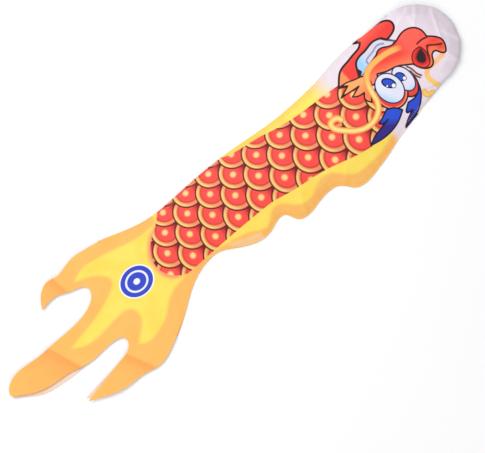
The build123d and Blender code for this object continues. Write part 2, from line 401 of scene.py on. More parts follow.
# %% [markdown]
# ## The print
# Real streamers are printed before they are cut. We draw the print on the pattern too: every shape is a
# closed line through a few points, and each point of the cloth stores how far it is from that line. A
# shader can turn such a distance into a fill or a crisp outline of any width, at any zoom, with no image
# file. The drawing has a red mouth and snout, two round eyes, blue brows, a yellow whisker and a fringe.

# %% Distance from a drawn shape
def closed(*runs):
    """A closed outline from smooth runs that meet at corners."""
    return np.vstack([smooth_line(run,
                                  1.5)[:-1] if len(run) > 2 else np.asarray(run[:1], float) for run in runs])


def oval(x, y, width, height, tilt=0.0):
    """An ellipse, by its centre, its two half sizes and its tilt in degrees."""
    t = np.linspace(0, 2 * pi, 41)[:-1]
    c, s = cos(radians(tilt)), sin(radians(tilt))
    a, b = width * np.cos(t), height * np.sin(t)
    return np.stack([x + a * c - b * s, y + a * s + b * c], axis=1)


FAR_OFF = 30.0  # millimetres; beyond this a drawn shape is simply far away


def out_of_reach(line, px, py):
    low, high = np.min(line, axis=0) - FAR_OFF, np.max(line, axis=0) + FAR_OFF
    return px.max() < low[0] or px.min() > high[0] or py.max() < low[1] or py.min() > high[1]


def to_line(line, px, py):
    """The distance to an open line of points."""
    if out_of_reach(line, px, py):
        return np.full(len(px), FAR_OFF)
    a, b = np.asarray(line[:-1], float), np.asarray(line[1:], float)
    run = b - a
    share = ((px[:, None] - a[:, 0]) * run[:, 0] + (py[:, None] - a[:, 1]) * run[:, 1]) / (run**2).sum(1)
    share = np.clip(share, 0, 1)
    return np.hypot(px[:, None] - a[:, 0] - share * run[:, 0],
                    py[:, None] - a[:, 1] - share * run[:, 1]).min(1)


def to_shape(outline, px, py):
    """The distance to a closed outline, negative inside it."""
    gap = to_line(np.vstack([outline, outline[:1]]), px, py)
    if out_of_reach(outline, px, py):
        return gap
    a, b = outline, np.roll(outline, -1, axis=0)
    crossed = (a[:, 1] > py[:, None]) != (b[:, 1] > py[:, None])
    rise = np.where(b[:, 1] == a[:, 1], 1e-9, b[:, 1] - a[:, 1])
    left = px[:, None] < a[:, 0] + (py[:, None] - a[:, 1]) * (b[:, 0] - a[:, 0]) / rise
    return np.where((crossed & left).sum(1) % 2 == 1, -gap, gap)


# %% The shapes of the face
SHAPES = {
    "jaw": closed(
        [(194, 31), (201, 39), (210, 46), (222, 48.5), (236, 51), (245, 53), (250, 57)],
        [(250, 57), (243, 61)],
        [(243, 61), (256, 62.5), (274, 61.5), (287, 58.5), (294, 52), (293, 45), (286, 40), (276, 38)],
        [(276, 38), (272, 44)],
        [(272, 44), (264, 47), (257, 47), (248, 45), (237, 44), (229, 40), (225, 33), (220, 23)],
        [(220, 23), (212, 26), (203, 27), (194, 31)]),
    "teeth": closed([(221, 24), (228, 40), (240, 45), (260, 48), (273, 43), (282, 31)],
                    [(282, 31), (268, 27), (250, 27), (234, 26), (221, 24)]),
    "snout": closed(
        [(254, 32), (260, 35), (266, 34), (273, 30), (281, 29), (291, 32), (301, 32.5), (310, 28),
         (315, 20), (315, 10)],
        [(315, 10), (322, 4), (327, -5), (325, -14), (320, -19), (316, -16), (311, -9.5), (306, -11),
         (302, -18),
         (297, -21.5), (291, -20), (285, -14), (281, -5)],
        [(281, -5), (272, 1), (263, 6), (254, 8), (246, 11), (240, 14)], [(240, 14), (236, 9), (228, 6.5)],
        [(228, 6.5), (222, 14), (226, 22), (238, 28), (254, 32)]),
    "fringe": closed([(196, 31), (204, 26)], [(204, 26), (188, 20)], [(188, 20), (214, 17)],
                     [(214, 17), (199, 12)],
                     [(199, 12), (206, 8), (214, 7)], [(214, 7), (209, 0), (213, -8)],
                     [(213, -8), (222, 4), (228, 12), (226, 22), (216, 26), (205, 30), (196, 31)]),
    "lids": oval(239, -14, 19.5, 21),
    "back_lid": oval(260, -18, 12.5, 17.5),
    "eye": oval(240.5, -9, 15.8, 20, 6),
    "back_eye": oval(261, -11, 10.8, 17.5, 4),
    "pupil": oval(243.5, -3.5, 5.0, 8.6, 32),
    "back_pupil": oval(259, -6.5, 4.8, 6.2, 32),
    "front_brow": closed([(221, -26), (212, -30), (203, -33)], [(203, -33), (206, -36), (215, -36.5)],
                         [(215, -36.5), (200, -39.5), (189, -42), (179, -47)],
                         [(179, -47), (195, -50), (212, -49.5), (226, -45), (236, -39)],
                         [(236, -39), (230, -31), (221, -26)]),
    "back_brow": closed([(271, -26), (268, -35), (260, -45), (250, -52), (240, -55.5), (226, -57.5)],
                        [(226, -57.5), (236, -51), (246, -47)], [(246, -47), (238, -45), (247, -36.5)],
                        [(247, -36.5), (258, -37), (266, -33), (271, -26)]),
    "wedge": closed([(219.5, 22.5), (228.5, 28)], [(228.5, 28), (225.5, 37)], [(225.5, 37), (219.5, 22.5)]),
    "nostril_ring": closed([(300.5, 6), (293, 6.5), (285, 2), (282, -5), (285, -13), (291.5, -18.5),
                            (297.5, -17),
                            (301, -10), (302.5, -2), (300.5, 6)]),
    "nostril": closed([(300, 3.5), (293, 1), (288.5, -3), (289, -9), (293.5, -12), (298, -8), (299.5, -2),
                       (300, 3.5)]),
    "scales": closed(
        [(222, -12), (222, 8), (218, 20), (210, 28), (196, 34)],
        [(196, 34), (175, 36), (158, 37), (140, 38), (120, 40.5), (105, 43), (85, 48), (62, 51.5), (40, 56),
         (20, 63),
         (-40, 66), (-66, 62), (-80, 51), (-93, 42)],
        [(-93, 42), (-104, 33), (-112, 20), (-114.5, 9), (-111, -4), (-103, -14), (-90, -21.5)],
        [(-90, -21.5), (-50, -21), (-20, -20.5), (28, -21), (45, -22), (60, -25), (80, -28.5), (100, -31),
         (120, -34.5),
         (145, -41.5), (165, -46.5), (181, -49)],
        [(181, -49), (200, -40), (216, -30), (222, -12)]),
    "faded": closed([(-33, -25), (-18, -30), (-3, -36), (9, -41), (9, -49), (-4, -46), (-18, -40),
                     (-33, -25)]),
    "blush": closed([(-80, 50), (-93, 47), (-106, 38), (-116, 24), (-119, 9), (-116, -7), (-106, -18),
                     (-88, -22)],
                    [(-88, -22), (-60, -20), (-60, 52), (-80, 50)]),
}
BANDS = {  # what is drawn as a line with a width
    "whisker": [(281, 21), (270, 24.5), (258, 26.5), (244, 26.5), (232, 23), (224.5, 14), (221, 3),
                (219, -9), (214, -19),
                (205, -25.5), (193, -27.5), (181, -24.5), (170, -17), (162, -9), (157, -1), (158, 4.5),
                (163, 6),
                (169, 4), (171, 0)],
    "short_whisker": [(317, -19), (308, -20), (299, -20.5), (290, -21.5), (286, -25), (285, -32),
                      (287, -40), (289, -45)],
    "curl": [(278, -46.5), (273, -45.5), (270, -42.5), (270.5, -39.5)],
    "lip_line": [(240, 30), (240.5, 34), (245, 36.5), (254, 38), (262, 40.5), (270, 37)],
    "lip_edge": [(271, 44), (276, 37.5), (283, 30)],
    "muzzle_line": [(300, 10.5), (308, 10.8), (314.5, 9)],
    "cheek_line": [(309, 1), (305, -3), (302, -10), (299, -15)],
    "tip_line": [(307, 1), (311, -0.5), (317, -5), (323.5, -8.5)],
    "lashes": [(273, -2), (276, -9), (277, -16), (280, -22)],
    "lashes_2": [(273, -9), (273.5, -15), (277, -23)],
}

# %% The soft fields of the body and tail
YELLOW_TAIL = closed(
    [(-60, 51), (-85, 50), (-110, 51), (-130, 56), (-150, 61), (-166, 64), (-181, 66), (-194, 63.5),
     (-201, 60)],
    [(-201, 60), (-188, 55), (-177, 49), (-169, 41), (-166, 34), (-168, 28), (-175, 23), (-188, 17),
     (-206, 11),
     (-230, 6), (-256, 1)],
    [(-256, 1), (-249, -4), (-233, -9), (-213, -8.5), (-196, -6.5), (-181, -5.5)],
    [(-181, -5.5), (-172, -8), (-167, -16), (-168, -26), (-175, -35), (-184, -42), (-190, -48)],
    [(-190, -48), (-182, -52.5), (-166, -51.5), (-151, -46.5), (-140, -40), (-129, -31), (-116, -25),
     (-100, -22),
     (-60, -20)])
YELLOW_FIN = closed(
    [(-75, 10), (-75, -19), (-55, -21), (-35, -23.5), (-15, -27), (0, -32), (12, -38.5), (22, -39.5),
     (30, -34),
     (38, -28), (47, -27.5), (56, -34), (64, -43), (74, -47.5), (84, -46.5), (94, -42), (106, -38),
     (118, -39.5),
     (128, -47), (136, -56), (146, -61.5), (164, -62.5), (184, -60.5), (204, -55), (225, -49)],
    [(225, -49), (225, 75), (-75, 75), (-75, 10)])


FOLD_SHADE_REACH = {"upper": 14, "middle": 24, "lower": 11}  # how far past its fold the painted shade on a prong reaches


def print_fields(x, y):
    """Everything that the print, and the shade and highlights painted over it, need to know at each point of
    the cloth.
    """
    fields = {name: to_shape(outline, x, y) for name, outline in SHAPES.items()}
    fields.update({name: to_line(smooth_line(line, 2), x, y) for name, line in BANDS.items()})
    yellow = np.minimum(to_shape(YELLOW_TAIL, x, y), to_shape(YELLOW_FIN, x, y))
    fields["yellow"] = 1 - eased(yellow, -2.6, 2.6)
    belly = np.clip((y + 20) / 60, 0, 1)
    fields["white"] = eased(x, 204 - 44 * belly, 215 - 19 * belly)
    # Painted highlight: where pale streaks are painted along the head's creases.
    fields["crease_highlight"] = np.max([ridge(x, y, *crease[:3], 1, 1.5, crease[5]) for crease in HEAD_CREASES],
                               axis=0)
    fields["hem"] = round_mouth(x, y)[0] * (x > MOUTH_CENTRE[0] - 8)
    # Painted shade: how strongly each prong is painted darker just past its fold, fading towards the tip.
    fields["folded"] = np.zeros_like(x)
    for name, fold in PRONG_FOLDS.items():
        off = past(fold, x, y)[0]
        shade_past_fold = eased(off, -3, 1) * np.exp(-np.clip(off, 0, None) / FOLD_SHADE_REACH[name])
        fields["folded"] = np.maximum(fields["folded"], np.where(on_prong(name, x, y), shade_past_fold, 0))
    return fields


print("drawn shapes:", len(SHAPES) + len(BANDS))

# %% [markdown]
# ## Shader arithmetic that reads like arithmetic
# The scales overlap like roof tiles, and a picture of them would need an image file. A formula needs none:
# for each point, find the disc nearest the head that covers it. Wiring that by hand takes a hundred Math
# nodes, so this small class lets Python's own + - * / lay the nodes for us.

# %% A value in a node tree
class Value:
    """One socket of a node tree, which ordinary arithmetic works on."""

    def __init__(self, socket):
        self.socket = socket

    def do(self, operation, *others, clamp=False):
        tree = self.socket.id_data
        made = tree.nodes.new("ShaderNodeMath")
        made.operation, made.use_clamp = operation, clamp
        for place, item in zip(made.inputs, (self, *others)):
            if isinstance(item, Value):
                tree.links.new(item.socket, place)
            else:
                place.default_value = item
        return Value(made.outputs[0])

    def __add__(self, other):
        return self.do("ADD", other)

    def __sub__(self, other):
        return self.do("SUBTRACT", other)

    def __mul__(self, other):
        return self.do("MULTIPLY", other)

    def __truediv__(self, other):
        return self.do("DIVIDE", other)

    def below(self, limit, soft=0.5):
        """1 under the limit and 0 over it, with an edge that is soft units wide."""
        return self.do("MULTIPLY_ADD", -1 / soft, limit / soft + 0.5, clamp=True)

    def above(self, limit, soft=0.5):
        return self.do("MULTIPLY_ADD", 1 / soft, -limit / soft + 0.5, clamp=True)


def colour(red, green, blue):
    """A screen colour from 0 to 255, as the linear numbers that Blender works in."""
    channels = [c / 255 for c in (red, green, blue)]
    return (*[c / 12.92 if c <= 0.04045 else ((c + 0.055) / 1.055) ** 2.4 for c in channels], 1.0)


def paint(tree, under, over, mask):
    """One coat of ink: over covers under where the mask is 1."""
    mix = tree.nodes.new("ShaderNodeMix")
    mix.data_type = "RGBA"
    tree.links.new(mask.socket, mix.inputs[0])
    for place, item in ((mix.inputs[6], under), (mix.inputs[7], over)):
        if isinstance(item, tuple):
            place.default_value = item
        else:
            tree.links.new(item, place)
    return mix.outputs[2]


def stored(tree, name):
    """A number that each point of the mesh stores."""
    made = tree.nodes.new("ShaderNodeAttribute")
    made.attribute_name = name
    return Value(made.outputs["Fac"])


def on_pattern(tree):
    made = tree.nodes.new("ShaderNodeUVMap")
    made.uv_map = "pattern"
    return made.outputs[0]


def cloth_place(tree):
    """The place on the pattern, in millimetres, as two values."""
    split = tree.nodes.new("ShaderNodeSeparateXYZ")
    tree.links.new(on_pattern(tree), split.inputs[0])
    return Value(split.outputs[0]), Value(split.outputs[1])


def noise(tree, scale, detail=3.0, place=None):
    """Soft noise from 0 to 1, on the pattern unless another place is given, with scale hills in each unit."""
    made = tree.nodes.new("ShaderNodeTexNoise")
    made.inputs["Scale"].default_value = scale
    made.inputs["Detail"].default_value = detail
    if place is None:
        place = on_pattern(tree)
    tree.links.new(place, made.inputs["Vector"])
    return Value(made.outputs[0])


# %% The scales, as overlapping discs
PITCH = 36.0  # between discs in a row
ROW = 21.5  # between rows, and the discs' radius
SLANT = -4.0  # each row starts this much further along


def top_disc(x, y):
    """Where a point is on the disc that covers it: along, across, and far from its centre."""
    u = x * (x * -0.000131 + 0.9898) - 18.1
    v = (y - 14) * ((y - 14) * 0.00113 + 1) * (1 / ROW)
    best = None
    for k in (-1, 0, 1):
        row = v.do("ROUND") + k
        up = (v - row) * ROW
        half = (up * up * -1 + ROW * ROW).do("SQRT")
        shift = (row * 0.5).do("FRACT") * PITCH + row * SLANT
        start = u - shift
        centre = ((start + half) / PITCH).do("FLOOR") * PITCH
        along = start - centre
        covers = along.do("LESS_THAN", half) * half.do("GREATER_THAN", 0.01)
        key = (centre + shift + 900) * covers
        if best is None:
            best = key, along, up
            continue
        wins = key.do("GREATER_THAN", best[0])
        best = (key.do("MAXIMUM", best[0]), best[1] + (along - best[1]) * wins,
                best[2] + (up - best[2]) * wins)
    along, up = best[1:]
    return along, up, (along * along + up * up).do("SQRT")


def ink_scales(tree, x, y):
    """The colour of the scale pattern."""
    along, up, far = top_disc(x, y)
    side = up.do("ABSOLUTE") / (far + 0.01)
    rim = paint(tree, colour(252, 208, 128), colour(246, 140, 108), side.above(0.82, 0.34))
    rim = paint(tree, rim, colour(232, 146, 84), far.below(16.9, 2.4))
    disc = paint(tree, rim, colour(206, 50, 50), far.below(15.2, 1.6))
    disc = paint(tree, disc, colour(252, 78, 72), (far + noise(tree, 0.35) * 0.8).below(14.0, 2.2))
    disc = paint(tree, disc, colour(168, 22, 40), along.above(7.6, 8.0))
    disc = paint(tree, disc, colour(104, 14, 20), along.above(12.6, 6.0))
    spot = ((along + 3.6) * (along + 3.6) + (up + 0.6) * (up + 0.6)).do("SQRT")
    disc = paint(tree, disc, colour(255, 150, 100), spot.below(4.2, 1.4))
    disc = paint(tree, disc, colour(255, 212, 140), spot.below(3.0, 1.2))
    return paint(tree, disc, colour(92, 22, 12), far.above(ROW - 1.9, 1.3))


# %% The whole print, with its painted shade and highlights, as one node group
def filled(tree, under, name, ink, line=colour(46, 8, 14), width=2.0):
    """A drawn shape: its fill, then its outline."""
    away = stored(tree, name)
    under = paint(tree, under, ink, away.below(0, 0.5))
    return paint(tree, under, line, away.do("ABSOLUTE").below(width / 2, 0.5)) if width else under


# Besides the print, the group paints shade just past the prong folds, highlights along the head's creases and
# shade round the mouth's hem.
def make_print():
    tree = bpy.data.node_groups.new("carp_print_with_painted_shade", "ShaderNodeTree")
    tree.interface.new_socket("Color", in_out="OUTPUT", socket_type="NodeSocketColor")
    x, y = cloth_place(tree)
    patchy = noise(tree, 0.03, 2.0)

    ink = paint(tree, colour(251, 190, 100), colour(250, 184, 94), patchy.above(0.5, 0.4))
    ink = paint(tree, ink, colour(254, 226, 100), stored(tree, "yellow"))
    ink = paint(tree, ink, colour(253, 214, 84), (patchy.above(0.56, 0.3)) * stored(tree, "yellow"))
    ink = paint(tree, ink, colour(249, 206, 96),
                y.above(48, 10) * x.above(-30, 60) * stored(tree, "yellow") * 0.7)
    # Painted shade: deeper orange just past each prong's fold.
    ink = paint(tree, ink, colour(248, 160, 82), stored(tree, "folded") * 0.9)
    ink = paint(tree, ink, colour(246, 200, 146), stored(tree, "faded").below(-0.5, 3.5) * 0.85)
    ink = paint(tree, ink, colour(234, 221, 231), stored(tree, "white"))

    middle = ((x + 144) * (x + 144) * (1 / 1.42) + (y - 11.5) * (y - 11.5)).do("SQRT")
    ink = paint(tree, ink, colour(246, 248, 255), middle.below(19.2, 0.6))
    ink = paint(tree, ink, colour(52, 72, 196), middle.below(17.8, 0.6))
    ink = paint(tree, ink, colour(236, 240, 252), (middle - 11.6).do("ABSOLUTE").below(1.1, 0.6))
    ink = paint(tree, ink, colour(236, 240, 252), middle.below(3.6, 0.6))

    scales = stored(tree, "scales")
    ink = paint(tree, ink, colour(250, 158, 112), stored(tree, "blush").below(-1.5, 5.0))
    ink = paint(tree, ink, ink_scales(tree, x, y), scales.below(0, 0.7))

    jaw = paint(tree, colour(250, 146, 92), colour(238, 62, 54), x.above(210, 2.5))
    jaw = paint(tree, jaw, colour(255, 92, 80), (y - x * 0.12).above(23, 12))
    snout = paint(tree, colour(255, 128, 88), colour(246, 72, 60), (y + x * 0.32).above(96, 12))
    snout = paint(tree, snout, colour(255, 98, 84), (x.above(284, 14)) * y.above(4, 8))
    tip = ((x - 320) * (x - 320) + (y + 10) * (y + 10)).do("SQRT")
    snout = paint(tree, snout, colour(228, 48, 38), tip.below(4, 8) * 0.85)
    fringe = paint(tree, colour(252, 172, 106), colour(246, 132, 84), y.below(12, 16))
    teeth = paint(tree, colour(202, 219, 242), colour(220, 213, 232), x.above(242, 12))
    teeth = paint(tree, teeth, colour(160, 208, 246), x.below(238, 8))
    ink = filled(tree, ink, "teeth", teeth, colour(60, 60, 96), 1.0)
    ink = paint(tree, ink, colour(134, 142, 180), stored(tree, "lip_line").below(1.05, 0.9))
    ink = paint(tree, ink, colour(92, 84, 112), stored(tree, "lip_edge").below(1.2, 0.7))
    ink = filled(tree, ink, "jaw", jaw, width=2.6)
    ink = filled(tree, ink, "wedge", colour(34, 26, 34), width=0)
    ink = paint(tree, ink, colour(252, 190, 128), stored(tree, "short_whisker").below(3.0, 1.2))
    ink = paint(tree, ink, colour(252, 204, 104),
                (stored(tree, "short_whisker") + y.above(-24, 4) * 9).below(2.2, 1.0))
    ink = paint(tree, ink, colour(250, 178, 96), stored(tree, "curl").below(3.6, 1.4))
    ink = paint(tree, ink, colour(252, 208, 100), stored(tree, "curl").below(1.8, 1.6))
    ink = filled(tree, ink, "snout", snout, width=2.1)
    ink = filled(tree, ink, "fringe", fringe, width=1.8)

    lid = stored(tree, "lids")
    ink = filled(tree, ink, "back_lid", colour(238, 70, 58))
    ink = filled(tree, ink, "lids",
                 paint(tree, colour(250, 146, 96), colour(234, 62, 54), lid.below(-2.6, 1.0)))
    brow = paint(tree, colour(52, 42, 132), colour(44, 80, 214), (x + y * 1.4).above(158, 16))
    back_brow = paint(tree, colour(50, 44, 136), colour(46, 76, 206), (x + y).above(196, 12))
    ink = filled(tree, ink, "back_brow", back_brow, colour(24, 18, 60))
    ink = filled(tree, ink, "front_brow", brow, colour(24, 18, 60))
    white = paint(tree, colour(182, 218, 250), colour(230, 232, 248), (x * 0.9 + y * 0.5).above(201, 9))
    back_white = paint(tree, colour(176, 216, 250), colour(230, 228, 246), y.above(-25, 10))
    ink = filled(tree, ink, "back_eye", back_white, colour(58, 26, 70), 1.6)
    ink = filled(tree, ink, "back_pupil", colour(40, 88, 212), colour(14, 16, 52), 1.6)
    ink = filled(tree, ink, "eye", white, colour(50, 34, 88), 1.6)
    ink = filled(tree, ink, "pupil", colour(44, 82, 214), colour(14, 14, 50), 1.9)
    for px, py, radius in ((246.2, -9.6, 2.4), (239.8, -5.0, 1.1), (262.0, -11.2, 2.0)):
        away = ((x - px) * (x - px) + (y - py) * (y - py)).do("SQRT")
        ink = paint(tree, ink, colour(24, 26, 66), away.below(radius + 0.9, 0.6))
        ink = paint(tree, ink, colour(250, 250, 255), away.below(radius, 0.6))
    ring = paint(tree, colour(206, 38, 42), colour(240, 66, 58), stored(tree, "nostril").above(3.0, 2.5))
    ink = filled(tree, ink, "nostril_ring", ring, colour(110, 14, 22), 1.5)
    ink = filled(tree, ink, "nostril", colour(40, 30, 34), colour(90, 16, 24), 1.2)
    for name in ("lashes", "lashes_2"):
        ink = paint(tree, ink, colour(120, 62, 64), stored(tree, name).below(1.1, 0.9))
    for name in ("muzzle_line", "cheek_line", "tip_line"):
        ink = paint(tree, ink, colour(104, 20, 24), stored(tree, name).below(1.15, 0.8))

    band = stored(tree, "whisker")
    root = x.below(279, 12)  # the whisker grows out of the snout with no edge
    ink = paint(tree, ink, colour(232, 140, 74), band.below(3.9, 1.1) * root)
    ink = paint(tree, ink, colour(250, 184, 96), band.below(3.0, 1.6) * root)
    ink = paint(tree, ink, colour(254, 228, 142), (band + y.above(12, 22) * 2.2).below(1.7, 2.0) * root)

    # Painted shade round the mouth: a grey band over the hoop's hem, patchy where crumpled folds would shade
    # it, and a darker grey towards the front of the mouth.
    hem = stored(tree, "hem")
    hem_fold_shade_patches = noise(tree, 0.045, 3.0).above(0.46, 0.3)
    off_face = stored(tree, "snout").above(1.6, 1) * stored(tree, "jaw").above(1.8, 1)
    hem_shade_band = hem.above(MOUTH_RADIUS - 12, 2.4) * x.above(306, 14) * (off_face * 0.7 + 0.3)
    ink = paint(tree, ink, colour(209, 197, 208), hem_shade_band * (hem_fold_shade_patches * 0.45 + 0.15))
    ink = paint(tree, ink, colour(200, 187, 200), (hem.above(24, 20) * x.above(318, 22)) * off_face * 0.4)
    # Painted highlight: pale streaks along the head's creases, on the white and off the drawn face.
    ink = paint(tree, ink, colour(252, 245, 251),
                stored(tree, "crease_highlight") * stored(tree, "white") * off_face * 0.5)
    output = tree.nodes.new("NodeGroupOutput")
    tree.links.new(ink, output.inputs[0])
    return tree


carp_print_with_painted_shade = make_print()
print("nodes in the print:", len(carp_print_with_painted_shade.nodes))

# %% [markdown]
# ## Finishes
# The cloth is a light satin-weave polyester: fine threads, a soft sheen, and ink that sinks in, so the
# gloss hardly changes over the print. The wrong side shows the white yarn with the print ghosting through.
# Thread is twisted, the hoop is drawn spring wire and the eyelets are rolled brass. Each finish is a
# Principled shader whose colour, roughness and bump come from nodes, while what is the same all over sits
# on the shader's own sockets.

# %% A finish and its parts
def finish(name, sheen=0.0, metallic=0.0, gloss=0.5):
    """A material with a Principled shader, ready for its colour, roughness and bump."""
    made = bpy.data.materials.new(name)
    made.use_nodes = True
    shader = made.node_tree.nodes["Principled BSDF"]
    shader.inputs["Sheen Weight"].default_value = sheen
    shader.inputs["Sheen Roughness"].default_value = 0.35
    shader.inputs["Metallic"].default_value = metallic
    shader.inputs["Specular IOR Level"].default_value = gloss
    return made, made.node_tree, shader


def roughen(tree, shader, low, high, value):
    """Roughness that drifts between two limits."""
    tree.links.new((value * (high - low) + low).socket, shader.inputs["Roughness"])


def bump(tree, shader, height, strength, distance):
    made = tree.nodes.new("ShaderNodeBump")
    made.inputs["Strength"].default_value = strength
    made.inputs["Distance"].default_value = distance
    tree.links.new(height.socket, made.inputs["Height"])
    tree.links.new(made.outputs[0], shader.inputs["Normal"])


THREAD_PITCH = 0.75  # a little over the real one, so that it survives in a texture


def weave(tree):
    """Warp over weft, from -1 to 1, with slubs where a thread runs thick."""
    x, y = cloth_place(tree)
    turn = 2 * pi / THREAD_PITCH
    slub = noise(tree, 0.9, 2.0)
    return (x * turn).do("SINE") * (y * turn).do("SINE") * (slub * 0.7 + 0.6) + slub * 0.5


def use_print(tree):
    made = tree.nodes.new("ShaderNodeGroup")
    made.node_tree = carp_print_with_painted_shade
    return made.outputs[0]


def make_outside():
    made, tree, shader = finish("printed_satin_polyester", sheen=0.05, gloss=0.22)
    worn = paint(tree, use_print(tree), colour(255, 246, 226), noise(tree, 0.7, 4.0).above(0.68, 0.3) * 0.04)
    tree.links.new(worn, shader.inputs["Base Color"])
    roughen(tree, shader, 0.48, 0.66, noise(tree, 0.12, 4.0))
    bump(tree, shader, weave(tree), 0.22, 0.00008)
    return made


def make_inside():
    made, tree, shader = finish("wrong_side_of_the_print", sheen=0.05, gloss=0.25)
    pale = paint(tree, colour(252, 214, 188), colour(248, 224, 210), noise(tree, 0.05).above(0.5, 0.3))
    cool = paint(tree, pale, colour(226, 220, 230), stored(tree, "white"))
    x, _ = cloth_place(tree)
    ghost = paint(tree, cool, use_print(tree), x.above(-80, 30) * 0.2 + 0.1)
    tree.links.new(ghost, shader.inputs["Base Color"])
    roughen(tree, shader, 0.52, 0.7, noise(tree, 0.15, 4.0))
    bump(tree, shader, weave(tree), 0.25, 0.00008)
    return made


def make_hem_cloth():
    made, tree, shader = finish("folded_hem_polyester", sheen=0.05, gloss=0.25)
    tone = paint(tree, colour(206, 198, 212), colour(222, 215, 228), noise(tree, 0.08).above(0.5, 0.4))
    tree.links.new(tone, shader.inputs["Base Color"])
    roughen(tree, shader, 0.48, 0.62, noise(tree, 0.2))
    bump(tree, shader, weave(tree), 0.3, 0.0001)
    return made


def make_thread(name, dark, light):
    made, tree, shader = finish(name, sheen=0.3)
    x, y = cloth_place(tree)
    # Painted shade and highlight: the twist's stripes are darker in its grooves and lighter on its plies, and
    # they also drive the bump.
    twist_with_groove_shade = ((x + y) * 5.2).do("SINE")
    tree.links.new(paint(tree, dark, light, twist_with_groove_shade.above(0.0, 1.6)), shader.inputs["Base Color"])
    roughen(tree, shader, 0.55, 0.75, noise(tree, 0.6))
    bump(tree, shader, twist_with_groove_shade, 0.4, 0.00006)
    return made


def make_metal(name, dark, light, low, high, stretch):
    """Drawn or rolled metal: fine streaks in one direction, in the part's own coordinates."""
    made, tree, shader = finish(name, metallic=1.0)
    where = tree.nodes.new("ShaderNodeTexCoord")
    longer = tree.nodes.new("ShaderNodeMapping")
    longer.inputs["Scale"].default_value = stretch
    tree.links.new(where.outputs["Object"], longer.inputs["Vector"])
    streak = noise(tree, 900.0, 4.0, longer.outputs[0])
    tree.links.new(paint(tree, dark, light, streak.above(0.5, 0.5)), shader.inputs["Base Color"])
    roughen(tree, shader, low, high, streak)
    bump(tree, shader, streak, 0.15, 0.00005)
    return made


outside, inside, hem_cloth = make_outside(), make_inside(), make_hem_cloth()
seam_thread = make_thread("cream_seam_thread", colour(226, 164, 104), colour(246, 198, 142))
hem_thread = make_thread("pale_hem_thread", colour(206, 202, 216), colour(246, 244, 250))
wire = make_metal("drawn_spring_wire", colour(120, 120, 124), colour(176, 176, 178), 0.28, 0.45,
                  (0.2, 0.2, 1.0))
crimp = make_metal("pressed_aluminium", colour(170, 170, 172), colour(206, 206, 208), 0.35, 0.5,
                   (1.0, 0.3, 1.0))
brass = make_metal("rolled_brass", colour(176, 128, 56), colour(224, 178, 92), 0.2, 0.38, (1.0, 1.0, 0.3))
print("finishes:", ", ".join(m.name for m in bpy.data.materials))

# %% [markdown]
# ## Cutting and laying the cloth
# Each grid becomes a very thin closed shell: a printed face, a wrong side and a rim all round, as real
# cloth has. A Solidify modifier could thicken a plain sheet, but building both faces lets us give each its
# own finish, leave the eyelet holes open, and hand every point its exact normal, so that the light runs on
# smoothly over the cuts.

# %% A mesh from millimetre points
SLACK_HEM = 2.0  # the most that the hem's cloth bulges past the hoop, between its gathers


def loosened(points):
    """The cloth round the front of the hoop is a little loose, so its outline isn't quite round."""
    reach, round_rim = round_mouth(points[:, 0], points[:, 1])
    bulge = SLACK_HEM * (0.5 + 0.5 * waves(round_rim, round_rim * 0, 13, 12))
    share = bulge * eased(reach, 44, 52) * eased(points[:, 0], 298, 312) / np.maximum(reach, 1)
    away = points[:, :2] - MOUTH_CENTRE
    return points + np.column_stack([away * share[:, None], np.zeros(len(points))])


def into_scene(name, data):
    made = bpy.data.objects.new(name, data)
    bpy.context.scene.collection.objects.link(made)
    return made


def as_piece(name, points, faces, finishes, pattern, which=None, normals=None):
    """A mesh object. pattern is each point's place on the pattern, which the print and the weave follow."""
    mesh = bpy.data.meshes.new(name)
    mesh.from_pydata((loosened(np.asarray(points)) * MM).tolist(), [], [list(face) for face in faces])
    for made in finishes:
        mesh.materials.append(made)
    if which is not None:
        mesh.polygons.foreach_set("material_index", np.asarray(which, np.int32))
    corners = np.zeros(len(mesh.loops), np.int32)
    mesh.loops.foreach_get("vertex_index", corners)
    uv = mesh.uv_layers.new(name="pattern")
    uv.uv.foreach_set("vector", np.asarray(pattern, np.float32)[corners].ravel())
    mesh.shade_smooth()
    if normals is not None:
        mesh.normals_split_custom_set_from_vertices(np.asarray(normals).tolist())
    return into_scene(name, mesh)


def store_print(piece, pattern):
    """Stores the print's fields, with those of its painted shade and highlights, on each point of a piece."""
    for name, values in print_fields(pattern[:, 0], pattern[:, 1]).items():
        field = piece.data.attributes.new(name, "FLOAT", "POINT")
        field.data.foreach_set("value", values.astype(np.float32))


# %% A thin closed shell over a grid
EYELETS = [at_angle(59.0, radians(angle)) for angle in (128, -128)]
EYELET_HOLE = 2.9


def shell(face, back, keep):
    """Points and faces of a shell between two grids of points. keep says which faces are there."""
    rows, columns = face.shape[:2]
    index = np.arange(rows * columns).reshape(rows, columns)
    quads = np.stack([index[:-1, :-1], index[:-1, 1:], index[1:, 1:], index[1:, :-1]], axis=-1)[keep]
    edges = np.concatenate([quads[:, [k, (k + 1) % 4]] for k in range(4)])
    there = {(a, b) for a, b in edges.tolist()}
    rim = np.array([(b, a, a + rows * columns, b + rows * columns) for a, b in there if (b, a) not in there])
    rim = rim[np.lexsort(rim.T)]
    faces = np.concatenate([quads, quads[:, ::-1] + rows * columns, rim])
    which = np.repeat([0, 1, 0], [len(quads), len(quads), len(rim)])
    used = np.unique(faces)
    place = np.full(2 * rows * columns, -1)
    place[used] = np.arange(len(used))
    return np.concatenate([face.reshape(-1, 3), back.reshape(-1, 3)])[used], place[faces], which, used


def open_eyelets(middles):
    """Which faces stay, by their middles: all but those over an eyelet."""
    return np.all([np.hypot(*np.moveaxis(middles - place, -1, 0)) > EYELET_HOLE for place in EYELETS], axis=0)


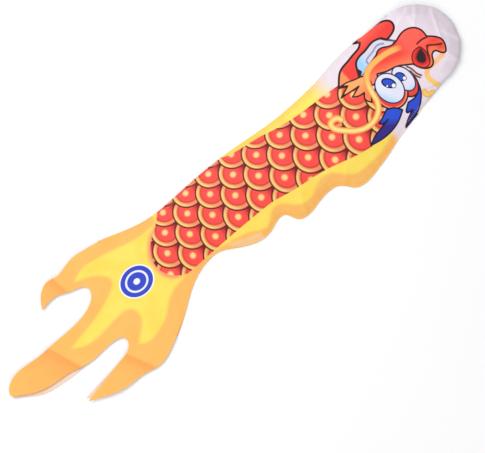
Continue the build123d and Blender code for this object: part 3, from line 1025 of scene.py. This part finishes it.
def flat_area(grid, keep):
    """The area of a grid on the pattern, in square metres."""
    a, b, c, d = grid[:-1, :-1], grid[:-1, 1:], grid[1:, 1:], grid[1:, :-1]
    one, two = c - a, d - b
    return float(np.abs(one[..., 0] * two[..., 1] - one[..., 1] * two[..., 0])[keep].sum() / 2) * MM**2


def lay(name, grid, height, side, where=None):
    """One piece of cloth. side is 1 where the print faces up and -1 where it faces the table."""
    where = grid if where is None else where
    x, y = where[..., 0], where[..., 1]
    up = facing(height, x, y)
    face = np.stack([x, y, height(x, y)], axis=-1)
    back = face - side * THICK * up
    middles = (grid[:-1, :-1] + grid[1:, 1:]) / 2
    keep = open_eyelets(middles) if side < 0 else np.ones(middles.shape[:2], bool)
    points, faces, which, used = shell(face, back, keep)
    if side < 0:
        faces = faces[:, ::-1]
    flat = np.concatenate([grid.reshape(-1, 2)] * 2)[used]
    normals = np.concatenate([side * up.reshape(-1, 3), -side * up.reshape(-1, 3)])[used]
    piece = as_piece(name, points, faces, (outside, inside), flat, which, normals)
    store_print(piece, flat)
    return piece, flat_area(grid, keep)


# %% Where each section's bend line lies, and its two bodies
def crossing(x_start, x_end):
    return (x_start, 0.0), (x_end, 0.0)


def over_fold(name, reach=5.0):
    """From just before a prong's fold to just past it."""
    px, py, angle = PRONG_FOLDS[name]
    towards = np.array([-sin(radians(angle)), cos(radians(angle))])
    middle = np.array([px, py])
    return tuple(middle - reach * towards), tuple(middle + reach * towards)


BENDS = {
    "mouth": ("mouth", "fore_body", *crossing(246, 220)),
    "body": ("fore_body", "rear_body", *crossing(112, 68)),
    "root": ("rear_body", "tail", *crossing(-45, -80)),
    **{name: ("tail", name + "_prong", *over_fold(name)) for name in PRONG_FOLDS},
}


def bend(piece, section):
    """Bakes the piece's transform; the bodies and bend line of its section are looked up but not applied."""
    first, second, start, end = BENDS[section]
    start[0] * MM
    start[1] * MM
    end[0] * MM
    end[1] * MM
    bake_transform(piece)


print("bends:", {name: value[:2] for name, value in BENDS.items()})

# %% Lay the two panels
# how far the far layer of a prong lies to the side, where that starts and is full, and where it fades by half
FAR_SHIFTS = {"middle": (-6.0, 248, 284, 315, 350), "lower": (4.2, 210, 288, 300, 310)}
STANDS_FOR = {"mouth": ("panel_head",), "body": ("panel_fore",), "root": ("panel_rear", "tail_fin")}
for prong in PRONG_FOLDS:
    STANDS_FOR[prong] = (prong + "_prong",)


def askew(name, grid):
    """The far layer of a prong, which lies a little askew, so that its edge shows."""
    amount, start, full, fade, end = FAR_SHIFTS[name]
    back = -grid[..., 0]
    sideways = amount * eased(back, start, full) * (1 - 0.5 * eased(back, fade, end))
    return np.stack([grid[..., 0], grid[..., 1] + sideways], axis=-1)


cloth = {}
for which_side, grids, height, side in (("far", far_grids, far_height, -1),
                                        ("near", near_grids, near_height, 1)):
    for section, grid in grids.items():
        where = askew(section, grid) if side < 0 and section in FAR_SHIFTS else None
        piece, area = lay(f"{which_side}_{section}_cloth", grid, height, side, where)
        bend(piece, section)
        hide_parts(*[f"{which_side}_{node}" for node in STANDS_FOR[section]])
        cloth[which_side, section] = piece
        under = [cloth["far", section]] if side > 0 else []

# %% [markdown]
# ## The rolled seams
# Along the belly and the back the two panels are sewn right sides together and turned, so the seam shows as
# a thin rolled edge in the print's own colours. A tube along the edge, flatter than it is wide, gives that
# edge its thickness. A curve with a bevel would be quicker, but a mesh tube can carry the print.

# %% Tubes along a line
def tube(centre, sideways, width, height, sides=8):
    """Points and faces of a closed tube. sideways is the level direction across it at each point."""
    turn = np.linspace(0, 2 * pi, sides + 1)[:-1]
    level = sideways[:, None] * np.cos(turn)[None, :, None] * np.reshape(width, (-1, 1, 1))
    rings = centre[:, None] + level
    rings[..., 2] += np.sin(turn)[None] * np.reshape(height, (-1, 1))
    count = len(centre)
    index = np.arange(count * sides).reshape(count, sides)
    wall = np.stack([index[:-1], index[1:], np.roll(index[1:], -1, 1), np.roll(index[:-1], -1, 1)],
                    -1).reshape(-1, 4)
    caps = [list(index[0]), list(index[-1][::-1])]
    return rings.reshape(-1, 3), wall.tolist() + caps


def along_edge(line, x_from, x_to, spacing=1.5):
    """Evenly spaced points along a panel's edge, and the level direction away from the panel."""
    run = between(line, x_from, x_to, 400)
    points = spread(run, int(np.linalg.norm(np.diff(run, axis=0), axis=1).sum() / spacing))
    way = np.gradient(points, axis=0)
    out = np.stack([way[:, 1], -way[:, 0]], axis=1) / np.linalg.norm(way, axis=1, keepdims=True)
    return points, out * np.sign(out[0, 1]) * (1 if line is BELLY else -1)


SEAM_END = 262
SEAM_RUNS = {"mouth": (SEAM_END, 163), "body": (163, 14), "root": (14, -150)}
SEAM_NODES = {"mouth": ("head",), "body": ("fore",), "root": ("rear", "tail")}
for edge, line in (("belly", BELLY), ("dorsal", BACK)):
    for section, (x_from, x_to) in SEAM_RUNS.items():
        points, out = along_edge(line, x_from, x_to)
        wobble = 0.06 * waves(points[:, 0], points[:, 1], 3.0, 8)
        thick = 0.12 + 0.88 * eased(SEAM_END - points[:, 0], 0, 14)  # dies away at the hoop
        centre = np.column_stack([points + out * (0.9 * thick - 0.65 + wobble)[:, None], 0.62 + wobble])
        rings, faces = tube(centre, np.column_stack([out, np.zeros(len(out))]), 0.8 * thick, 0.55 * thick)
        pattern = np.repeat(points, 8, axis=0)
        piece = as_piece(f"{edge}_seam_{section}", rings, faces, (outside,), pattern)
        store_print(piece, pattern)
        bend(piece, section)
        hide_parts(*[f"{edge}_seam_{node}" for node in SEAM_NODES[section]])
print("seam pieces:", 2 * len(SEAM_RUNS))

# %% [markdown]
# ## Hem, hoop and stitches
# The mouth's hem is a pocket of cloth round the wire: the panel passes over it, turns under and is sewn
# down 12 mm further in. We sweep the pocket's section round each half of the hoop. Stitches are separate
# dashes of thread that rise from the cloth and dip back into it, because a painted line looks flat in low
# light.

# %% The hem's pocket
HEM = 12.0
POCKET = 2.25  # radius of the pocket round the wire, just inside the panel's own roll
POCKET_FOOT = 0.9  # height at which the near flap leaves the pocket


def sweep(name, section, start, end, body_section):
    """A strip of hem cloth. section(angle) gives its points as reach from the mouth's centre and height."""
    angles = np.radians(np.linspace(start, end, 121))
    rows = np.array([section(angle) for angle in angles])
    turn = angles[:, None]
    face = np.stack([*at_angle(rows[..., 0], turn), rows[..., 1]], axis=-1)
    way = np.gradient(rows, axis=1)
    way /= np.linalg.norm(way, axis=-1, keepdims=True)
    out, up = -way[..., 1], way[..., 0]
    back = face - THICK * np.stack([out * np.cos(turn), out * np.sin(turn), up], axis=-1)
    keep = open_eyelets((face[:-1, :-1] + face[1:, 1:])[..., :2] / 2)
    points, faces, _, used = shell(face, back, keep)
    run = np.cumsum(np.linalg.norm(np.diff(rows, axis=1, prepend=rows[:, :1]), axis=-1), axis=1)
    flat = np.stack(np.broadcast_arrays(turn * MOUTH_RADIUS, run), axis=-1).reshape(-1, 2)
    piece = as_piece(name, points, faces, (hem_cloth,), np.concatenate([flat, flat])[used])
    bend(piece, body_section)
    return piece


def round_wire(start, end, count):
    """The part of the section that goes round the wire, between two angles in degrees."""
    turn = np.radians(np.linspace(start, end, count))
    return np.stack([WIRE_REACH + POCKET * np.cos(turn), WIRE_HEIGHT + POCKET * np.sin(turn)], axis=1)


def near_section(angle):
    """From the panel's edge, under the wire and up to the stitch line inside the mouth."""
    reach = np.linspace(46.5, MOUTH_RADIUS - HEM - 1, 7)
    under = near_height(*at_angle(reach, angle)) - 0.55
    share = np.linspace(0.15, 1, 7) ** 0.8
    flap = np.column_stack([reach, POCKET_FOOT + (under - POCKET_FOOT) * share])
    return np.vstack([round_wire(12, -135, 16), flap])


def panel_reach(angle, inset=2.2):
    """How far the hem can run out from the mouth's centre before it meets the panel's edge."""
    reach = np.linspace(MOUTH_RADIUS, MOUTH_RADIUS + HEM, 61)
    x, y = at_angle(reach, angle)
    over = (y > edge_y(BELLY, x) - inset) | (y < edge_y(BACK, x) + inset)
    return float(reach[~over].max()) if (~over).any() else MOUTH_RADIUS


def far_section(angle):
    """From the stitch line outside the hoop, over the wire and under to the panel's edge."""
    reach = np.linspace(max(panel_reach(angle), MOUTH_RADIUS + 0.6), MOUTH_RADIUS + 0.3, 9)
    lying = far_height(*at_angle(reach, angle)) + 2 * THICK + 0.15
    flap = np.column_stack([reach, lying + 2.2 * eased(-reach, -56, -52)])
    last = min(MOUTH_RADIUS + 0.6, panel_reach(angle, 0.3))
    return np.vstack([flap, round_wire(35, 270, 20), [(50.6, 0.22), (last, 0.24)]])


near_hem = sweep("near_mouth_hem", near_section, -92, 92, "mouth")
far_hem = sweep("far_mouth_hem", far_section, 92, 268, "mouth")
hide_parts("mouth_hem")

# %% Rows of stitches
STITCH = 2.5
STITCH_PITCH = 3.3
STITCH_THREAD = 0.14


def stitches(name, rows, finish_used, section, nodes=()):
    """Dashes of thread. A row is a line of points on the cloth, its height function and which way is out."""
    points, faces, flat = [], [], []
    turn = np.linspace(0, 2 * pi, 7)[:-1]
    share = np.array([0, 0.18, 0.5, 0.82, 1])
    for line, height, side in rows:
        run = np.concatenate([[0], np.cumsum(np.linalg.norm(np.diff(line, axis=0), axis=1))])
        for start in np.arange(0.5, run[-1] - STITCH, STITCH_PITCH):
            at = start + share * STITCH
            x, y = np.interp(at, run, line[:, 0]), np.interp(at, run, line[:, 1])
            way = np.array([x[-1] - x[0], y[-1] - y[0]])
            way /= np.linalg.norm(way)
            thick = STITCH_THREAD * np.array([0.45, 0.95, 1, 0.95, 0.45])
            z = height(x, y) + side * STITCH_THREAD * np.array([-0.6, 0.35, 0.6, 0.35, -0.6])
            ring = np.empty((5, 6, 3))
            ring[..., 0] = x[:, None] - way[1] * thick[:, None] * np.cos(turn)
            ring[..., 1] = y[:, None] + way[0] * thick[:, None] * np.cos(turn)
            ring[..., 2] = z[:, None] + thick[:, None] * np.sin(turn)
            first = sum(len(p) for p in points)
            index = first + np.arange(30).reshape(5, 6)
            wall = np.stack([index[:-1], np.roll(index[:-1], -1, 1), np.roll(index[1:], -1, 1), index[1:]],
                            -1)
            faces += wall.reshape(-1, 4).tolist() + [index[0][::-1].tolist(), index[-1].tolist()]
            points.append(ring.reshape(-1, 3))
            flat.append(np.column_stack([np.repeat(at, 6), np.tile(turn * thick[2], 5)]))
    piece = as_piece(name, np.concatenate(points), faces, (finish_used,), np.concatenate(flat))
    bend(piece, section)
    if nodes:
        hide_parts(*nodes)
    print(name, "has", len(points), "stitches")


SEAM_INSET = 3.2
for section, (x_from, x_to) in SEAM_RUNS.items():
    edges = [along_edge(line, x_from, x_to) for line in (BELLY, BACK)]
    lines = [points - out * SEAM_INSET for points, out in edges]
    stitches(f"near_seam_stitches_{section}", [(line, near_height, 1) for line in lines], seam_thread,
             section)
    stitches(f"far_seam_stitches_{section}", [(line, far_height, -1) for line in lines], seam_thread, section)
hem_rows = [(ring_arc(MOUTH_RADIUS - HEM, -84, 84, 300), near_height, 1),
            (ring_arc(MOUTH_RADIUS + HEM - 1, 127, 233, 300), far_height, -1)]
stitches("mouth_hem_stitches", hem_rows, hem_thread, "mouth", ["hem_stitching"])

# %% Finishes for the metal parts
for node, made in (("mouth_hoop", wire), ("hoop_sleeve", crimp), ("bridle_eyelets", brass)):
    for place in frame["nodes"][node].material_slots:
        place.material = made
    print(node, "wears", made.name)

# %% [markdown]
# ## Floor, light and camera
# The streamer lies on a plain pale floor under large soft lights, and the camera looks straight down on it,
# turned so that the fish swims up and to the right.

# %% The stage
floor_finish, tree, shader = finish("pale_floor")
where = tree.nodes.new("ShaderNodeTexCoord")
mottle = noise(tree, 3.0, 2.0, where.outputs["Object"])
pale = paint(tree, colour(250, 250, 250), colour(252, 252, 252), mottle)
tree.links.new(pale, shader.inputs["Base Color"])
roughen(tree, shader, 0.85, 0.95, mottle)
FLOOR = 6.0
floor_mesh = bpy.data.meshes.new("floor")
corner = [(x * FLOOR / 2, y * FLOOR / 2, -0.0004) for x, y in ((-1, -1), (1, -1), (1, 1), (-1, 1))]
floor_mesh.from_pydata(corner, [], [(0, 1, 2, 3)])
floor_mesh.materials.append(floor_finish)
into_scene("floor", floor_mesh)


def soft_light(name, where, size, power):
    """A square lamp that faces the middle of the streamer."""
    lamp = bpy.data.lights.new(name, "AREA")
    lamp.size, lamp.energy = size, power
    made = into_scene(name, lamp)
    made.location = where
    made.rotation_euler = (-Vector(where)).to_track_quat("-Z", "Y").to_euler()


soft_light("key", (-0.3, 1.3, 1.8), 1.4, 27)
soft_light("fill", (-0.9, -1.5, 1.8), 1.8, 11)
world = bpy.data.worlds.new("studio")
world.use_nodes = True
world.node_tree.nodes["Background"].inputs[0].default_value = (1.0, 1.0, 1.0, 1.0)
world.node_tree.nodes["Background"].inputs[1].default_value = 0.585
bpy.context.scene.world = world
bpy.context.scene.view_settings.view_transform = "Standard"
print("lights:", len(bpy.data.lights))

# %% The camera
AWAY = 2.0  # metres above the floor
SEEN = 0.589  # metres across the picture at the floor
SENSOR = 36.0
LEAN = -40.4  # degrees from the picture's level to the line from tail to mouth
aim = Vector((-0.0031, -0.0209, 0.0))
lens = bpy.data.cameras.new("camera")
lens.sensor_width, lens.lens = SENSOR, SENSOR * AWAY / SEEN
camera = into_scene("camera", lens)
camera.location = aim + Vector((0, 0, AWAY))
camera.rotation_euler = (0, 0, radians(LEAN))
bpy.context.scene.camera = camera
